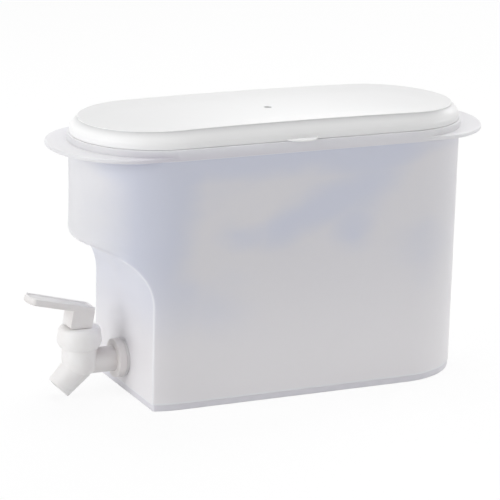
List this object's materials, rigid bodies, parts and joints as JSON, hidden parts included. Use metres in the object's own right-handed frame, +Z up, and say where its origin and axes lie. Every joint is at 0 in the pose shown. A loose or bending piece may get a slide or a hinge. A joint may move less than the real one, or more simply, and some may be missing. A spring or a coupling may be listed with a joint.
{
  "type": "drink container with tap",
  "caption": "Oblong frosted plastic drink container with a crowned lift-off lid, flat end grips and a press-down lever tap set into its cut-back front.",
  "frame": {"origin": "on the surface the container stands on, under the middle of its bounding box", "axes": "+Z up; -X towards the tap, so +X points to the rear grip; +Y away from the side with the lid's pry tab"},
  "size_m": [0.322, 0.115, 0.185],
  "materials": {
    "frosted_polypropylene": "frosted, translucent",
    "white_lid": "smooth satin",
    "white_tap": "satin",
    "white_bonnet": "satin",
    "white_lever": "satin",
    "white_pin": "satin",
    "white_stem": "satin",
    "soft_silicone": "soft, pale",
    "outer_silicone": "soft, pale",
    "inner_silicone": "soft, pale",
    "white_nut": "satin"
  },
  "bodies": {
    "container": {"tank": "frosted_polypropylene", "tap_body": "white_tap", "tap_bonnet": "white_bonnet", "seat_cup": "soft_silicone", "outer_washer": "outer_silicone", "inner_washer": "inner_silicone", "lock_nut": "white_nut"},
    "lid": {"lid": "white_lid"},
    "stem": {"valve_stem": "white_stem"},
    "lever": {"tap_lever": "white_lever", "lever_pin": "white_pin"}
  },
  "joints": [
    {"name": "lid_lift", "type": "slide", "parent": "container", "child": "lid", "axis": [0, 0, 1], "range_m": [0, 0.05]},
    {"name": "stem_lift", "type": "slide", "parent": "container", "child": "stem", "axis": [0, 0, 1], "range_m": [0, 0.0027], "deforming": ["seat_cup"]},
    {"name": "lever_press", "type": "hinge", "parent": "stem", "child": "lever", "pos_m": [-0.12333, 0.00265, 0.0535], "axis": [0, -1, 0], "range_deg": [0, 28], "stiffness_Nm_per_rad": 0.25, "springref_deg": -20.05}
  ],
  "couplings": [
    {"joint": "stem_lift", "follows": "lever_press", "m_per_rad": 0.0055}
  ]
}
